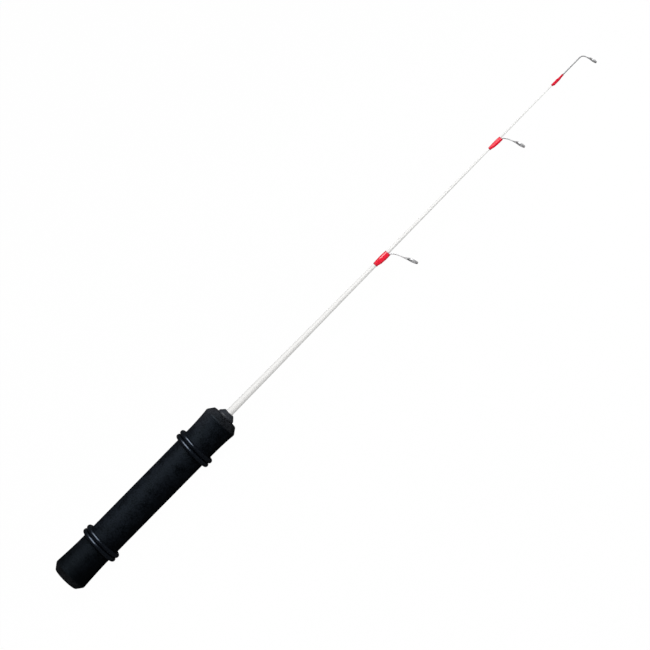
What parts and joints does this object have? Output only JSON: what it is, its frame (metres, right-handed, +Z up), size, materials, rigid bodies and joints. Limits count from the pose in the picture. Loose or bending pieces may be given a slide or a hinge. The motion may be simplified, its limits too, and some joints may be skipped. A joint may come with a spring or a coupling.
{
  "type": "ice fishing rod",
  "caption": "Short ice fishing rod: foam grip with sliding rubber rings that hold a reel, solid tapered white blank, wire line guides under red shrink sleeves, and a bent wire tip guide.",
  "frame": {"origin": "centre of the flat butt face, on the rod's axis", "axes": "+X along the rod from the butt to the tip, +Z up, with the rod rolled as it lies on a table, on its O-rings and its first guide, so that the line guides point towards -Y and 37 degrees below the horizontal"},
  "size_m": [0.5036, 0.0333, 0.0298],
  "materials": {
    "foam_black": "matte",
    "ferrule_black": "satin",
    "core_grey": "matte",
    "ring_rubber": "gloss",
    "blank_white": "gloss",
    "sleeve_red": "gloss",
    "wire_steel": "polished",
    "hoop_steel": "polished",
    "insert_grey": "gloss"
  },
  "bodies": {
    "rod": {"grip_foam": "foam_black", "handle_core_tube": "core_grey", "butt_plug": "ferrule_black", "nose_ferrule": "ferrule_black", "rod_blank": "blank_white", "first_guide_sleeve": "sleeve_red", "first_guide_frame": "wire_steel", "first_guide_hoop": "hoop_steel", "first_guide_insert": "insert_grey", "second_guide_sleeve": "sleeve_red", "second_guide_frame": "wire_steel", "second_guide_hoop": "hoop_steel", "second_guide_insert": "insert_grey", "tip_guide_sleeve": "sleeve_red", "tip_guide_frame": "wire_steel", "tip_guide_hoop": "hoop_steel", "tip_guide_insert": "insert_grey"},
    "butt_outer_ring": {"o_ring_butt_outer": "ring_rubber"},
    "butt_inner_ring": {"o_ring_butt_inner": "ring_rubber"},
    "nose_inner_ring": {"o_ring_nose_inner": "ring_rubber"},
    "nose_outer_ring": {"o_ring_nose_outer": "ring_rubber"}
  },
  "joints": [
    {"name": "butt_outer_ring_slide", "type": "slide", "parent": "rod", "child": "butt_outer_ring", "axis": [1, 0, 0], "range_m": [-0.007, 0]},
    {"name": "butt_inner_ring_slide", "type": "slide", "parent": "rod", "child": "butt_inner_ring", "axis": [1, 0, 0], "range_m": [0, 0.04]},
    {"name": "nose_inner_ring_slide", "type": "slide", "parent": "rod", "child": "nose_inner_ring", "axis": [1, 0, 0], "range_m": [-0.04, 0]},
    {"name": "nose_outer_ring_slide", "type": "slide", "parent": "rod", "child": "nose_outer_ring", "axis": [1, 0, 0], "range_m": [0, 0.008]}
  ]
}
